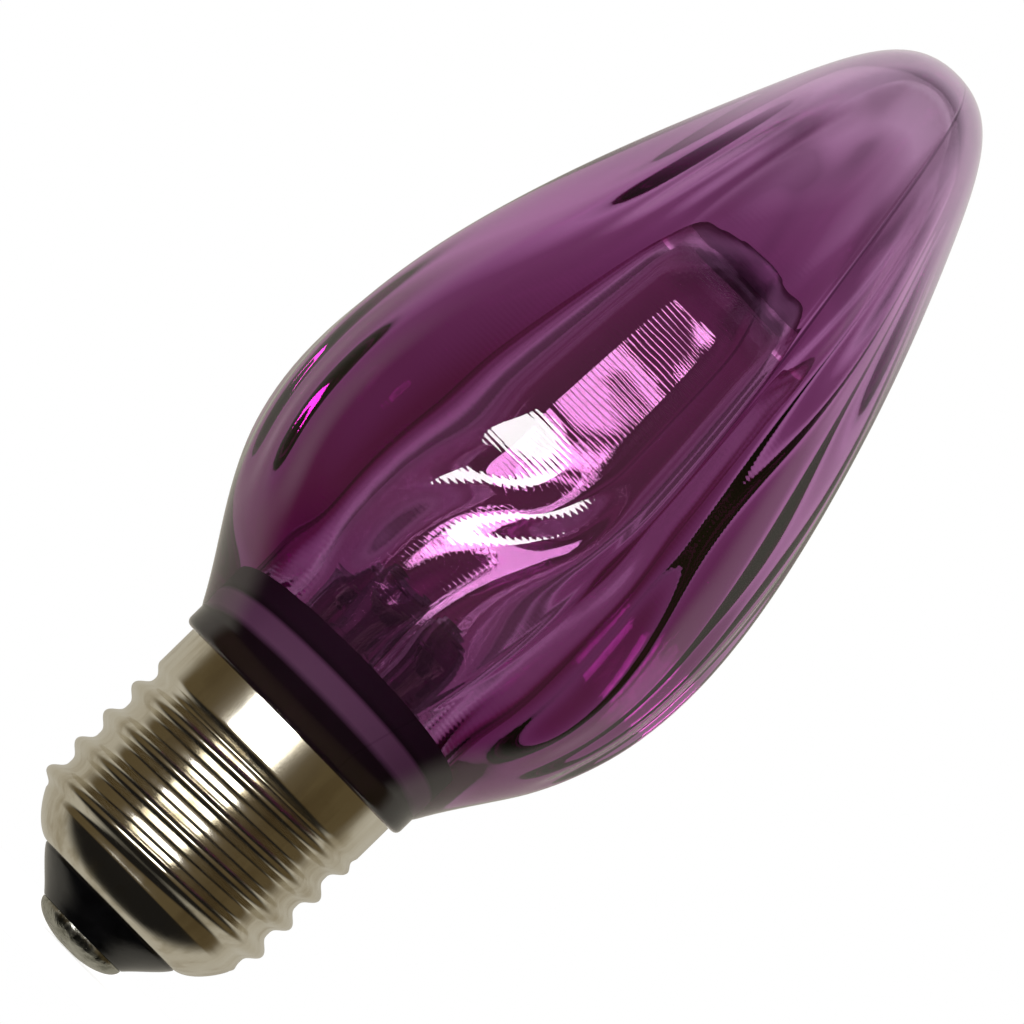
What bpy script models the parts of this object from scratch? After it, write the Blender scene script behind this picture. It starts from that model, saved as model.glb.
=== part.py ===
"""Flame tip LED lamp with a medium screw cap, modelled at real size in metres.

The lamp stands cap down: +Z runs from the centre contact to the tip, and the
origin is the centre of the flat at the bottom of the centre contact.
"""

import math

import bmesh
import bpy
from mathutils import Vector

MM = 0.001
GAP = 0.3 * MM                      # air left wherever two pieces meet
ROUND_COLUMNS = 28                  # sides of a small turned piece

# Screw shell, rolled from nickel plated sheet
SHEET = 0.3 * MM
THREAD_PITCH = 25.4 / 7 * MM        # seven turns to the inch, right-handed
THREAD_CREST_RADIUS = 13.05 * MM
THREAD_ROOT_RADIUS = 11.95 * MM
THREAD_START = 8.6 * MM             # height of a crest at angle zero
COLLAR_RADIUS = 12.75 * MM
COLLAR_LENGTH = 3.9 * MM
CAP_LENGTH = 28.6 * MM              # contact face to shell rim
SHOULDER_INSET = 0.1 * MM           # top of the shoulder inside the thread's root
SHOULDER_TOP = 9.0 * MM
LIP_RADIUS = 8.3 * MM
LIP_HEIGHT = 5.6 * MM
RUN_IN = 1.1 * MM                   # the thread grows from the shoulder over this height
RUN_OUT = 1.6 * MM                  # and dies into the collar over this one
SHELL_COLUMNS = 28
ROWS_PER_TURN = 6

# Insulator and centre contact
CONTACT_RADIUS = 4.95 * MM
CONTACT_DOME = 2.0 * MM
CONTACT_FLAT = 1.2 * MM             # radius of the worn flat that touches the holder
STEM_RADIUS = 1.2 * MM
STEM_LENGTH = 5.1 * MM
INSULATOR_FOOT_RADIUS = 5.2 * MM
INSULATOR_RECESS_FLOOR = 6.4 * MM
INSULATOR_RECESS_RADIUS = 8.0 * MM
INSULATOR_TOP = 9.8 * MM

# Flame body, one thick clear moulding
BODY_LENGTH = 85.5 * MM             # shell rim to tip
SPIGOT_LENGTH = 3.4 * MM            # what enters the shell's collar
BEAD_RADIUS = 13.7 * MM
BEAD_EDGE = 0.6 * MM
BEAD_HEIGHT = 2.1 * MM              # shell rim to the top of the bead
FLARE_START_RADIUS = 13.95 * MM
FLARE_START = 2.5 * MM              # above the shell rim
FLARE_ANGLE = math.radians(28.6)    # from the axis
FLARE_REACH = 8.6 * MM              # handle of the curve that leaves the flare
BELLY_RADIUS = 23.73 * MM
BELLY_HEIGHT = 27.6 * MM            # above the shell rim
BELLY_REACH_BELOW = 13.1 * MM
BELLY_REACH_ABOVE = 10.9 * MM
TAPER_RADIUS = 11.7 * MM
TAPER_BELOW_TIP = 13.5 * MM
TAPER_ANGLE = math.radians(23)
TAPER_REACH_BELOW = 21.0 * MM
TAPER_REACH_ABOVE = 10.0 * MM
TIP_REACH = 5.5 * MM

# Uneven flutes that run along the flame body, and the slow hollows under them. A wave
# is its count round the body, the height in which it moves on by a radian, and its start
FLUTE_COUNT = 17
FLUTE_DEPTH = 0.70 * MM
FLUTE_FOOT = 10.4 * MM              # above the shell rim, where they begin
FLUTE_FADE_IN = 7.0 * MM
FLUTE_FADE_OUT = 15.0 * MM          # before the tip, where they begin to fade
FLUTE_FULL_RADIUS = 12.0 * MM       # thinner than this, the depth shrinks with the body
FLUTE_STRAY = 1.0                   # how far their spacing wanders, in radians of their wave
STRAY_WAVES = ((3, 9.0 * MM, 0.7), (5, -13.0 * MM, 2.1))
DEPTH_SWING = 0.25                  # how far their depth changes, as a share of it
DEPTH_WAVES = ((4, 11.0 * MM, 0.0),)
HOLLOW_DEPTH = 0.50 * MM
HOLLOW_WAVES = ((3, 16.0 * MM, 0.7), (5, -21.0 * MM, 2.1))
CREST_PROUD = 0.30 * MM             # how far the crests stand outside the outline
FRONT = -math.pi / 2
SLANT = math.radians(12)            # how far the flutes lean over at the front of the belly
SLANT_HEIGHT = 29.0 * MM            # above the shell rim
SLANT_LENGTH = 4.5 * MM
SLANT_SPREAD = math.radians(20)
CALM_SHARE = 0.9                    # of their depth, lost at the front above the belly
CALM_HEIGHT = 31.0 * MM             # above the shell rim
CALM_LENGTH = 8.0 * MM
CALM_SPREAD = math.radians(50)
COLUMNS_PER_FLUTE = 6

# Bullet shaped cavity and the bore below it
BORE_RADIUS = 9.6 * MM
SHELF_HEIGHT = 10.7 * MM            # above the shell rim
CAVITY_RADIUS = 8.8 * MM
CAVITY_STRAIGHT = 5.7 * MM          # above the shelf
CAVITY_SHOULDER_RADIUS = 6.3 * MM
CAVITY_SHOULDER = 34.0 * MM         # above the straight part
CROWN_RISE = 8.4 * MM
CORE_COLUMNS = 32

# Round LED board and its five lamps
BOARD_THICKNESS = 1.6 * MM
LED_COUNT = 5
LED_CIRCLE = 5.3 * MM
LED_TURN = math.radians(-14)        # of the foremost one, from the front
LED_RADIUS = 2.5 * MM
LED_FLANGE_RADIUS = 2.9 * MM
LED_FLANGE_HEIGHT = 1.0 * MM
LED_HEIGHT = 8.6 * MM
LED_PIN_PITCH = 2.54 * MM
LED_PIN_TAIL = 1.0 * MM             # below the board
PIN_RADIUS = 0.28 * MM
PIN_SIDES = 6

# Carrier pressed into the bore under the LED board
CARRIER_HEIGHT = 8.1 * MM
CARRIER_WALL = 1.4 * MM
WEB_DEPTH = 2.6 * MM                # top of the web below the top of the carrier
WEB_THICKNESS = 1.5 * MM
WEB_HOLE_RADIUS = 3.0 * MM

# Driver board, upright in the cap, and what is soldered to it
DRIVER_THICKNESS = 1.2 * MM
LEAD_ROOM = 2.2 * MM                # between the insulator and the driver board
EDGE_MARGIN = 0.6 * MM              # from the board's lower edge to the lowest component
SPACING = 0.6 * MM                  # between components on the same side
DROPPER_WIDTH = 11.0 * MM
DROPPER_DEPTH = 5.0 * MM
DROPPER_PIN_PITCH = 7.5 * MM
SMOOTHING_RADIUS = 3.15 * MM
SMOOTHING_LENGTH = 7.0 * MM
SMOOTHING_PIN_PITCH = 2.5 * MM
RECTIFIER_SIZE = (6.4 * MM, 2.6 * MM, 4.8 * MM)
RECTIFIER_PIN_PITCH = (5.0 * MM, 2.54 * MM)
FUSE_RADIUS = 1.2 * MM
FUSE_LENGTH = 6.3 * MM
FUSE_PIN_PITCH = 10.2 * MM
BLEED_RADIUS = 0.9 * MM
BLEED_LENGTH = 4.0 * MM
BLEED_PIN_PITCH = 7.6 * MM
LEAD_BEND = 0.9 * MM
CASE_BEVEL = 0.3 * MM
BOARD_BEVEL = 0.1 * MM

# Insulated leads
WIRE_RADIUS = 0.5 * MM
SOLDER_LENGTH = 0.8 * MM            # what lies against the board at the foot of a lead
LED_LEAD_START = 2.6 * MM           # below the driver board's upper edge
LEAD_DIP = 1.2 * MM                 # how far a lead hangs below the driver board
NEUTRAL_RISE = 4.6 * MM             # up the shell's wall

# Heights that follow from the sizes above
TIP = CAP_LENGTH + BODY_LENGTH
SHOULDER_TOP_RADIUS = THREAD_ROOT_RADIUS - SHOULDER_INSET
THREAD_TOP = CAP_LENGTH - COLLAR_LENGTH
SHELF = CAP_LENGTH + SHELF_HEIGHT
BOARD_TOP = SHELF - GAP
BOARD_BOTTOM = BOARD_TOP - BOARD_THICKNESS
CARRIER_TOP = BOARD_BOTTOM - GAP
CARRIER_BOTTOM = CARRIER_TOP - CARRIER_HEIGHT
WEB_TOP = CARRIER_TOP - WEB_DEPTH
WEB_BOTTOM = WEB_TOP - WEB_THICKNESS
DRIVER_TOP = WEB_BOTTOM - GAP
DRIVER_BOTTOM = INSULATOR_TOP + LEAD_ROOM
DRIVER_FACE = DRIVER_THICKNESS / 2
CONTACT_TOP = CONTACT_DOME
INSULATOR_FOOT = CONTACT_TOP + GAP
STEM_TOP = CONTACT_TOP + STEM_LENGTH
PIECE_RADIUS = BORE_RADIUS - GAP    # whatever slides into the bore
CARRIER_INSIDE = PIECE_RADIUS - CARRIER_WALL
HOLE_RADIUS = PIN_RADIUS + GAP
BLEED_PLACE = DRIVER_BOTTOM + EDGE_MARGIN + BLEED_RADIUS
FUSE_PLACE = BLEED_PLACE + BLEED_RADIUS + SPACING + FUSE_RADIUS
DROPPER_BOTTOM = FUSE_PLACE + FUSE_RADIUS + SPACING
DROPPER_TOP = CARRIER_BOTTOM - GAP
DROPPER_PLACE = (DROPPER_BOTTOM + DROPPER_TOP) / 2
RECTIFIER_PLACE = DRIVER_BOTTOM + EDGE_MARGIN + RECTIFIER_SIZE[2] / 2
SMOOTHING_PLACE = (RECTIFIER_PLACE + RECTIFIER_SIZE[2] / 2 + CARRIER_BOTTOM) / 2


def clear_scene():
    for old in list(bpy.data.objects):
        bpy.data.objects.remove(old, do_unlink=True)


def finish(name, colour, roughness, metallic=0.0, transmission=0.0):
    material = bpy.data.materials.new(name)
    material.use_nodes = True
    shader = material.node_tree.nodes["Principled BSDF"]
    shader.inputs["Base Color"].default_value = (*colour, 1.0)
    shader.inputs["Roughness"].default_value = roughness
    shader.inputs["Metallic"].default_value = metallic
    shader.inputs["Transmission Weight"].default_value = transmission
    return material


def smooth_step(value):
    value = min(max(value, 0.0), 1.0)
    return value * value * (3.0 - 2.0 * value)


def curve_points(start, start_handle, end_handle, end, steps):
    """Points of one cubic curve in the (radius, height) plane, without its start."""
    points = []
    for step in range(1, steps + 1):
        t = step / steps
        u = 1.0 - t
        weights = (u * u * u, 3 * u * u * t, 3 * u * t * t, t * t * t)
        corners = (start, start_handle, end_handle, end)
        radius = sum(w * c[0] for w, c in zip(weights, corners))
        height = sum(w * c[1] for w, c in zip(weights, corners))
        points.append((radius, height))
    return points


def add_object(name, shape, material, smooth_angle=30.0):
    """Turns a bmesh into a named object, with its faces pointing outwards."""
    bmesh.ops.recalc_face_normals(shape, faces=shape.faces)
    mesh = bpy.data.meshes.new(name)
    shape.to_mesh(mesh)
    shape.free()
    mesh.shade_smooth()
    mesh.set_sharp_from_angle(angle=math.radians(smooth_angle))
    mesh.materials.append(material)
    piece = bpy.data.objects.new(name, mesh)
    bpy.context.scene.collection.objects.link(piece)
    return piece


def turned_shape(outline, columns):
    """Turns an outline of (radius, height) points about Z.

    An outline that starts and ends at radius zero makes a solid with two
    poles, and any other outline closes on itself and makes a ring.
    """
    shape = bmesh.new()
    rings = []
    for radius, height in outline:
        if radius <= 0.0:
            rings.append([shape.verts.new((0.0, 0.0, height))])
            continue
        ring = []
        for column in range(columns):
            angle = 2 * math.pi * column / columns
            ring.append(shape.verts.new((radius * math.cos(angle), radius * math.sin(angle), height)))
        rings.append(ring)
    pairs = list(zip(rings, rings[1:]))
    if outline[0][0] > 0.0:
        pairs.append((rings[-1], rings[0]))
    for lower, upper in pairs:
        join_rings(shape, lower, upper)
    return shape


def join_rings(shape, lower, upper):
    """Fills the band between two rings, or between a ring and a pole."""
    columns = max(len(lower), len(upper))
    for column in range(columns):
        following = (column + 1) % columns
        corners = [
            lower[column % len(lower)],
            lower[following % len(lower)],
            upper[following % len(upper)],
            upper[column % len(upper)],
        ]
        unique = list(dict.fromkeys(corners))
        if len(unique) > 2:
            shape.faces.new(unique)


def combine(piece, tool, operation):
    """Cuts the tool out of the piece, or joins it on, and removes the tool."""
    modifier = piece.modifiers.new(operation.title(), "BOOLEAN")
    modifier.operation = operation
    modifier.solver = "EXACT"
    modifier.object = tool
    bpy.context.view_layer.update()
    evaluated = piece.evaluated_get(bpy.context.evaluated_depsgraph_get())
    mesh = bpy.data.meshes.new_from_object(evaluated)
    piece.modifiers.clear()
    piece.data = mesh
    bpy.data.objects.remove(tool, do_unlink=True)


def rod(name, start, end, radius, sides, material):
    """A straight round rod between two points."""
    start = Vector(start)
    run = Vector(end) - start
    shape = bmesh.new()
    bmesh.ops.create_cone(
        shape, cap_ends=True, segments=sides, radius1=radius, radius2=radius, depth=run.length
    )
    turn = run.to_track_quat("Z", "Y").to_matrix()
    bmesh.ops.rotate(shape, matrix=turn, verts=shape.verts)
    bmesh.ops.translate(shape, vec=start + run / 2, verts=shape.verts)
    return add_object(name, shape, material)


def block(name, size, centre, material, bevel=CASE_BEVEL):
    """A box with small bevels on its edges."""
    shape = bmesh.new()
    bmesh.ops.create_cube(shape, size=1.0)
    bmesh.ops.scale(shape, vec=size, verts=shape.verts)
    bmesh.ops.bevel(
        shape, geom=shape.edges[:], offset=bevel, segments=1, affect="EDGES", profile=0.5
    )
    bmesh.ops.translate(shape, vec=centre, verts=shape.verts)
    return add_object(name, shape, material, smooth_angle=20.0)


def wire(name, route, radius, material, steps=4, resolution=2):
    """A round wire along a smooth curve through the route's points."""
    points = [Vector(point) for point in route]
    path = []
    for index in range(len(points) - 1):
        before = points[max(index - 1, 0)]
        start = points[index]
        end = points[index + 1]
        after = points[min(index + 2, len(points) - 1)]
        for step in range(steps):
            t = step / steps
            path.append(
                0.5 * (
                    2 * start
                    + (end - before) * t
                    + (2 * before - 5 * start + 4 * end - after) * t ** 2
                    + (3 * start - before - 3 * end + after) * t ** 3
                )
            )
    path.append(points[-1])
    curve = bpy.data.curves.new(name, "CURVE")
    curve.dimensions = "3D"
    curve.bevel_depth = radius
    curve.bevel_resolution = resolution
    curve.use_fill_caps = True
    spline = curve.splines.new("POLY")
    spline.points.add(len(path) - 1)
    for target, point in zip(spline.points, path):
        target.co = (*point, 1.0)
    curve.materials.append(material)
    piece = bpy.data.objects.new(name, curve)
    bpy.context.scene.collection.objects.link(piece)
    return piece


def as_mesh(piece):
    """Turns a wire into a closed mesh object, so that it can be joined to another piece."""
    bpy.context.view_layer.update()
    evaluated = piece.evaluated_get(bpy.context.evaluated_depsgraph_get())
    shape = bmesh.new()
    shape.from_mesh(bpy.data.meshes.new_from_object(evaluated))
    bmesh.ops.remove_doubles(shape, verts=shape.verts, dist=0.001 * MM)
    name = piece.name
    material = piece.data.materials[0]
    bpy.data.objects.remove(piece, do_unlink=True)
    return add_object(name, shape, material)


def body_outline():
    """The flame body's outer outline, from the foot of its spigot to the tip."""
    rim = CAP_LENGTH
    spigot_radius = COLLAR_RADIUS - SHEET - GAP
    bead_foot = rim + GAP
    flare = (FLARE_START_RADIUS, rim + FLARE_START)
    belly = (BELLY_RADIUS, rim + BELLY_HEIGHT)
    taper = (TAPER_RADIUS, TIP - TAPER_BELOW_TIP)
    tip = (0.0, TIP)
    flare_run = (math.sin(FLARE_ANGLE), math.cos(FLARE_ANGLE))
    taper_run = (-math.sin(TAPER_ANGLE), math.cos(TAPER_ANGLE))
    outline = [
        (spigot_radius, rim - SPIGOT_LENGTH),
        (spigot_radius, bead_foot),
        (BEAD_RADIUS - BEAD_EDGE, bead_foot),
        (BEAD_RADIUS, bead_foot + BEAD_EDGE),
        (BEAD_RADIUS, rim + BEAD_HEIGHT),
        flare,
    ]
    outline += curve_points(
        flare,
        (flare[0] + FLARE_REACH * flare_run[0], flare[1] + FLARE_REACH * flare_run[1]),
        (belly[0], belly[1] - BELLY_REACH_BELOW),
        belly,
        6,
    )
    outline += curve_points(
        belly,
        (belly[0], belly[1] + BELLY_REACH_ABOVE),
        (taper[0] - TAPER_REACH_BELOW * taper_run[0], taper[1] - TAPER_REACH_BELOW * taper_run[1]),
        taper,
        8,
    )
    outline += curve_points(
        taper,
        (taper[0] + TAPER_REACH_ABOVE * taper_run[0], taper[1] + TAPER_REACH_ABOVE * taper_run[1]),
        (TIP_REACH, TIP),
        tip,
        6,
    )
    return outline


def slow_wave(waves, angle, rise):
    return sum(math.sin(turns * angle + rise / pitch + start) for turns, pitch, start in waves)


def flute_cut(angle, radius, height):
    """How far the flutes and hollows cut in below the outline at this place."""
    rise = height - CAP_LENGTH - FLUTE_FOOT
    grow = smooth_step(rise / FLUTE_FADE_IN)
    fade = smooth_step((TIP - height) / FLUTE_FADE_OUT)
    slim = min(radius / FLUTE_FULL_RADIUS, 1.0)
    off_front = math.remainder(angle - FRONT, 2 * math.pi)
    lean = SLANT * math.tanh((height - CAP_LENGTH - SLANT_HEIGHT) / SLANT_LENGTH)
    lean *= math.exp(-((off_front / SLANT_SPREAD) ** 2))
    calm = CALM_SHARE * smooth_step((height - CAP_LENGTH - CALM_HEIGHT) / CALM_LENGTH)
    calm *= math.exp(-((off_front / CALM_SPREAD) ** 2))
    stray = FLUTE_STRAY * slow_wave(STRAY_WAVES, angle, rise)
    flute = 0.5 - 0.5 * math.cos(FLUTE_COUNT * (angle - lean) + stray)
    uneven = 1 - DEPTH_SWING * (1 - slow_wave(DEPTH_WAVES, angle, rise))
    hollow = 0.5 + slow_wave(HOLLOW_WAVES, angle, rise) / (2 * len(HOLLOW_WAVES))
    depth = FLUTE_DEPTH * flute * uneven * (1 - calm) + HOLLOW_DEPTH * hollow - CREST_PROUD
    return depth * grow * fade * slim


def make_flame_body(material):
    columns = FLUTE_COUNT * COLUMNS_PER_FLUTE
    shape = bmesh.new()
    rings = []
    for radius, height in body_outline():
        if radius <= 0.0:
            rings.append([shape.verts.new((0.0, 0.0, height))])
            continue
        ring = []
        for column in range(columns):
            angle = 2 * math.pi * column / columns
            reach = radius - flute_cut(angle, radius, height)
            ring.append(shape.verts.new((reach * math.cos(angle), reach * math.sin(angle), height)))
        rings.append(ring)
    for lower, upper in zip(rings, rings[1:]):
        join_rings(shape, lower, upper)
    shape.faces.new(rings[0])
    body = add_object("flame_body", shape, material)
    core = add_object("core", turned_shape(core_outline(), CORE_COLUMNS), material)
    combine(body, core, "DIFFERENCE")
    return body


def core_outline():
    """The bore and the bullet shaped cavity, as the core that leaves them."""
    below = CAP_LENGTH - SPIGOT_LENGTH - 1.0 * MM
    straight_top = SHELF + CAVITY_STRAIGHT
    shoulder = straight_top + CAVITY_SHOULDER
    crown = shoulder + CROWN_RISE
    narrowing = CAVITY_RADIUS - CAVITY_SHOULDER_RADIUS
    arc_radius = (CAVITY_SHOULDER ** 2 + narrowing ** 2) / (2 * narrowing)
    arc_angle = math.asin(CAVITY_SHOULDER / arc_radius)
    outline = [(0.0, below), (BORE_RADIUS, below), (BORE_RADIUS, SHELF), (CAVITY_RADIUS, SHELF)]
    outline.append((CAVITY_RADIUS, straight_top))
    arc_steps = 5
    for step in range(1, arc_steps + 1):
        angle = arc_angle * step / arc_steps
        radius = CAVITY_RADIUS - arc_radius * (1 - math.cos(angle))
        outline.append((radius, straight_top + arc_radius * math.sin(angle)))
    crown_steps = 4
    for step in range(1, crown_steps):
        angle = math.pi / 2 * step / crown_steps
        outline.append((CAVITY_SHOULDER_RADIUS * math.cos(angle), shoulder + CROWN_RISE * math.sin(angle)))
    outline.append((0.0, crown))
    return outline


def shoulder_curve():
    """The turned-in shoulder of the shell, from its lip up to the thread."""
    lip = (LIP_RADIUS, LIP_HEIGHT)
    top = (SHOULDER_TOP_RADIUS, SHOULDER_TOP)
    out_handle = (LIP_RADIUS + 1.5 * MM, LIP_HEIGHT + 0.2 * MM)
    top_handle = (SHOULDER_TOP_RADIUS - 0.5 * MM, SHOULDER_TOP - 1.1 * MM)
    return [lip] + curve_points(lip, out_handle, top_handle, top, 4)


def thread_radius(height, turns):
    """Outer radius of the shell at this height, for a row this many turns past a crest."""
    middle = (THREAD_CREST_RADIUS + THREAD_ROOT_RADIUS) / 2
    swing = (THREAD_CREST_RADIUS - THREAD_ROOT_RADIUS) / 2
    threaded = middle + swing * math.cos(2 * math.pi * turns)
    grow = smooth_step((height - SHOULDER_TOP) / RUN_IN)
    fade = smooth_step((THREAD_TOP - height) / RUN_OUT)
    plain = SHOULDER_TOP_RADIUS if height < (SHOULDER_TOP + THREAD_TOP) / 2 else COLLAR_RADIUS
    return plain + (threaded - plain) * grow * fade


def make_screw_shell(material):
    """The shell as one sheet: shoulder rings, helical thread rows, collar rings."""
    shape = bmesh.new()
    columns = SHELL_COLUMNS
    rise = THREAD_PITCH / ROWS_PER_TURN
    nearest = 0.2 * rise

    def place(column, radius, height):
        angle = 2 * math.pi * column / columns
        return shape.verts.new((radius * math.cos(angle), radius * math.sin(angle), height))

    shoulder = shoulder_curve()
    rings = []
    for radius, height in shoulder[:-1]:
        rings.append([place(column, radius, height) for column in range(columns)])
    low = [place(column, SHOULDER_TOP_RADIUS, SHOULDER_TOP) for column in range(columns)]
    high = [place(column, COLLAR_RADIUS, THREAD_TOP) for column in range(columns)]
    rim = [place(column, COLLAR_RADIUS, CAP_LENGTH) for column in range(columns)]
    rings.append(low)
    for lower, upper in zip(rings, rings[1:]):
        join_rings(shape, lower, upper)
    join_rings(shape, high, rim)

    known = {}

    def thread_vertex(row, column):
        """Rows climb with the thread, so the last column meets the row one turn up."""
        if column == columns:
            return thread_vertex(row + ROWS_PER_TURN, 0)
        if (row, column) in known:
            return known[row, column]
        height = THREAD_START + rise * row + THREAD_PITCH * column / columns
        if height < SHOULDER_TOP + nearest:
            vertex = low[column]
        elif height > THREAD_TOP - nearest:
            vertex = high[column]
        else:
            vertex = place(column, thread_radius(height, row / ROWS_PER_TURN), height)
        known[row, column] = vertex
        return vertex

    first_row = -ROWS_PER_TURN - 1
    last_row = math.ceil((THREAD_TOP - THREAD_START) / rise) + 1
    for row in range(first_row, last_row):
        for column in range(columns):
            corners = [
                thread_vertex(row, column),
                thread_vertex(row, column + 1),
                thread_vertex(row + 1, column + 1),
                thread_vertex(row + 1, column),
            ]
            unique = list(dict.fromkeys(corners))
            if len(unique) > 2:
                shape.faces.new(unique)
    shell = add_object("screw_shell", shape, material, smooth_angle=50.0)
    sheet = shell.modifiers.new("Sheet", "SOLIDIFY")
    sheet.thickness = SHEET
    sheet.offset = -1.0
    sheet.use_even_offset = True
    return shell


def moved_in(outline, distance):
    """The outline moved towards the axis and upwards by this distance, along its normals."""
    moved = []
    for index, (radius, height) in enumerate(outline):
        before = outline[max(index - 1, 0)]
        after = outline[min(index + 1, len(outline) - 1)]
        run = Vector((after[0] - before[0], after[1] - before[1])).normalized()
        moved.append((radius - run.y * distance, height + run.x * distance))
    return moved


def make_base_insulator(material):
    """Black moulding under the shell's lip, with a hole for the contact's stem."""
    waist = LIP_RADIUS - GAP
    seat = [point for point in moved_in(shoulder_curve(), SHEET + GAP) if point[0] > waist]
    flange_radius = seat[-1][0]
    hole = STEM_RADIUS + GAP
    cone_height = LIP_HEIGHT - GAP / 2
    outline = [(hole, INSULATOR_FOOT), (INSULATOR_FOOT_RADIUS, INSULATOR_FOOT), (waist, cone_height)]
    outline.append((waist, seat[0][1]))
    outline += seat
    outline += [
        (flange_radius, INSULATOR_TOP),
        (INSULATOR_RECESS_RADIUS, INSULATOR_TOP),
        (INSULATOR_RECESS_RADIUS, INSULATOR_RECESS_FLOOR),
        (hole, INSULATOR_RECESS_FLOOR),
    ]
    return add_object("base_insulator", turned_shape(outline, ROUND_COLUMNS), material)


def make_centre_contact(material):
    """Domed button with a small flat below and a stem above."""
    steps = 6
    first = math.asin(CONTACT_FLAT / CONTACT_RADIUS)
    drop = math.cos(first)
    outline = [(0.0, 0.0)]
    for step in range(steps + 1):
        angle = first + (math.pi / 2 - first) * step / steps
        height = CONTACT_DOME * (drop - math.cos(angle)) / drop
        outline.append((CONTACT_RADIUS * math.sin(angle), height))
    outline += [(STEM_RADIUS, CONTACT_TOP), (STEM_RADIUS, STEM_TOP), (0.0, STEM_TOP)]
    return add_object("centre_contact", turned_shape(outline, ROUND_COLUMNS), material)


def led_places():
    """Centre and turn of each lamp on the LED board, seen from the front first."""
    places = []
    for index in range(LED_COUNT):
        angle = LED_TURN - math.pi / 2 + 2 * math.pi * index / LED_COUNT
        centre = Vector((LED_CIRCLE * math.cos(angle), LED_CIRCLE * math.sin(angle), 0.0))
        places.append((centre, angle))
    return places


def drill(piece, places, start, end, material):
    """Drills a pin hole at each place, from start to end along the given axis."""
    for place in places:
        tool = rod("drill", place + start, place + end, HOLE_RADIUS, 8, material)
        combine(piece, tool, "DIFFERENCE")


def make_led_board(material):
    shape = turned_shape(
        [
            (0.0, BOARD_BOTTOM),
            (PIECE_RADIUS, BOARD_BOTTOM),
            (PIECE_RADIUS, BOARD_TOP),
            (0.0, BOARD_TOP),
        ],
        ROUND_COLUMNS,
    )
    board = add_object("led_board", shape, material)
    places = []
    for centre, angle in led_places():
        along = Vector((-math.sin(angle), math.cos(angle), 0.0)) * LED_PIN_PITCH / 2
        places += [centre + along, centre - along]
    margin = Vector((0.0, 0.0, GAP))
    start = Vector((0.0, 0.0, BOARD_BOTTOM)) - margin
    end = Vector((0.0, 0.0, BOARD_TOP)) + margin
    drill(board, places, start, end, material)
    return board


def make_leds(material):
    """Five clear lamps. They share one mesh and are placed by turning."""
    dome_base = LED_HEIGHT - LED_RADIUS
    outline = [
        (0.0, 0.0),
        (LED_FLANGE_RADIUS, 0.0),
        (LED_FLANGE_RADIUS, LED_FLANGE_HEIGHT),
        (LED_RADIUS, LED_FLANGE_HEIGHT),
        (LED_RADIUS, dome_base),
    ]
    dome_steps = 3
    for step in range(1, dome_steps):
        angle = math.pi / 2 * step / dome_steps
        outline.append((LED_RADIUS * math.cos(angle), dome_base + LED_RADIUS * math.sin(angle)))
    outline.append((0.0, LED_HEIGHT))
    pattern = add_object("led_1", turned_shape(outline, 16), material)
    tail = GAP + BOARD_THICKNESS + LED_PIN_TAIL
    for side in (-1, 1):
        offset = side * LED_PIN_PITCH / 2
        pin = rod("pin", (0.0, offset, LED_FLANGE_HEIGHT / 2), (0.0, offset, -tail),
                  PIN_RADIUS, PIN_SIDES, material)
        combine(pattern, pin, "UNION")
    leds = [pattern]
    for index in range(1, LED_COUNT):
        led = bpy.data.objects.new(f"led_{index + 1}", pattern.data)
        bpy.context.scene.collection.objects.link(led)
        leds.append(led)
    for led, (centre, angle) in zip(leds, led_places()):
        led.location = centre + Vector((0.0, 0.0, BOARD_TOP + GAP))
        led.rotation_euler = (0.0, 0.0, angle)
    return leds


def make_board_carrier(material):
    """Ring with a web: the LED board rests on its top, the driver board stops under the web."""
    outline = [
        (PIECE_RADIUS, CARRIER_BOTTOM),
        (PIECE_RADIUS, CARRIER_TOP),
        (CARRIER_INSIDE, CARRIER_TOP),
        (CARRIER_INSIDE, WEB_TOP),
        (WEB_HOLE_RADIUS, WEB_TOP),
        (WEB_HOLE_RADIUS, WEB_BOTTOM),
        (CARRIER_INSIDE, WEB_BOTTOM),
        (CARRIER_INSIDE, CARRIER_BOTTOM),
    ]
    return add_object("board_carrier", turned_shape(outline, ROUND_COLUMNS), material)


def pin_row(pitch, height):
    """Two pin places, left and right of the middle of the driver board."""
    return [Vector((-pitch / 2, 0.0, height)), Vector((pitch / 2, 0.0, height))]


def rectifier_pins():
    wide, tall = RECTIFIER_PIN_PITCH
    return pin_row(wide, RECTIFIER_PLACE - tall / 2) + pin_row(wide, RECTIFIER_PLACE + tall / 2)


def make_driver_board(material):
    size = (2 * (CARRIER_INSIDE - GAP), DRIVER_THICKNESS, DRIVER_TOP - DRIVER_BOTTOM)
    centre = (0.0, 0.0, (DRIVER_TOP + DRIVER_BOTTOM) / 2)
    board = block("driver_board", size, centre, material, bevel=BOARD_BEVEL)
    places = pin_row(DROPPER_PIN_PITCH, DROPPER_PLACE)
    places += pin_row(SMOOTHING_PIN_PITCH, SMOOTHING_PLACE)
    places += rectifier_pins()
    places += pin_row(FUSE_PIN_PITCH, FUSE_PLACE)
    places += pin_row(BLEED_PIN_PITCH, BLEED_PLACE)
    start = Vector((0.0, -DRIVER_THICKNESS, 0.0))
    end = Vector((0.0, DRIVER_THICKNESS, 0.0))
    drill(board, places, start, end, material)
    return board


def add_pins(piece, places, from_face, material):
    """Straight pins from inside a component to the far face of the driver board."""
    for place in places:
        start = place + Vector((0.0, from_face * (DRIVER_FACE + 2 * GAP), 0.0))
        end = place - Vector((0.0, from_face * DRIVER_FACE, 0.0))
        pin = rod("pin", start, end, PIN_RADIUS, PIN_SIDES, material)
        combine(piece, pin, "UNION")


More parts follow.
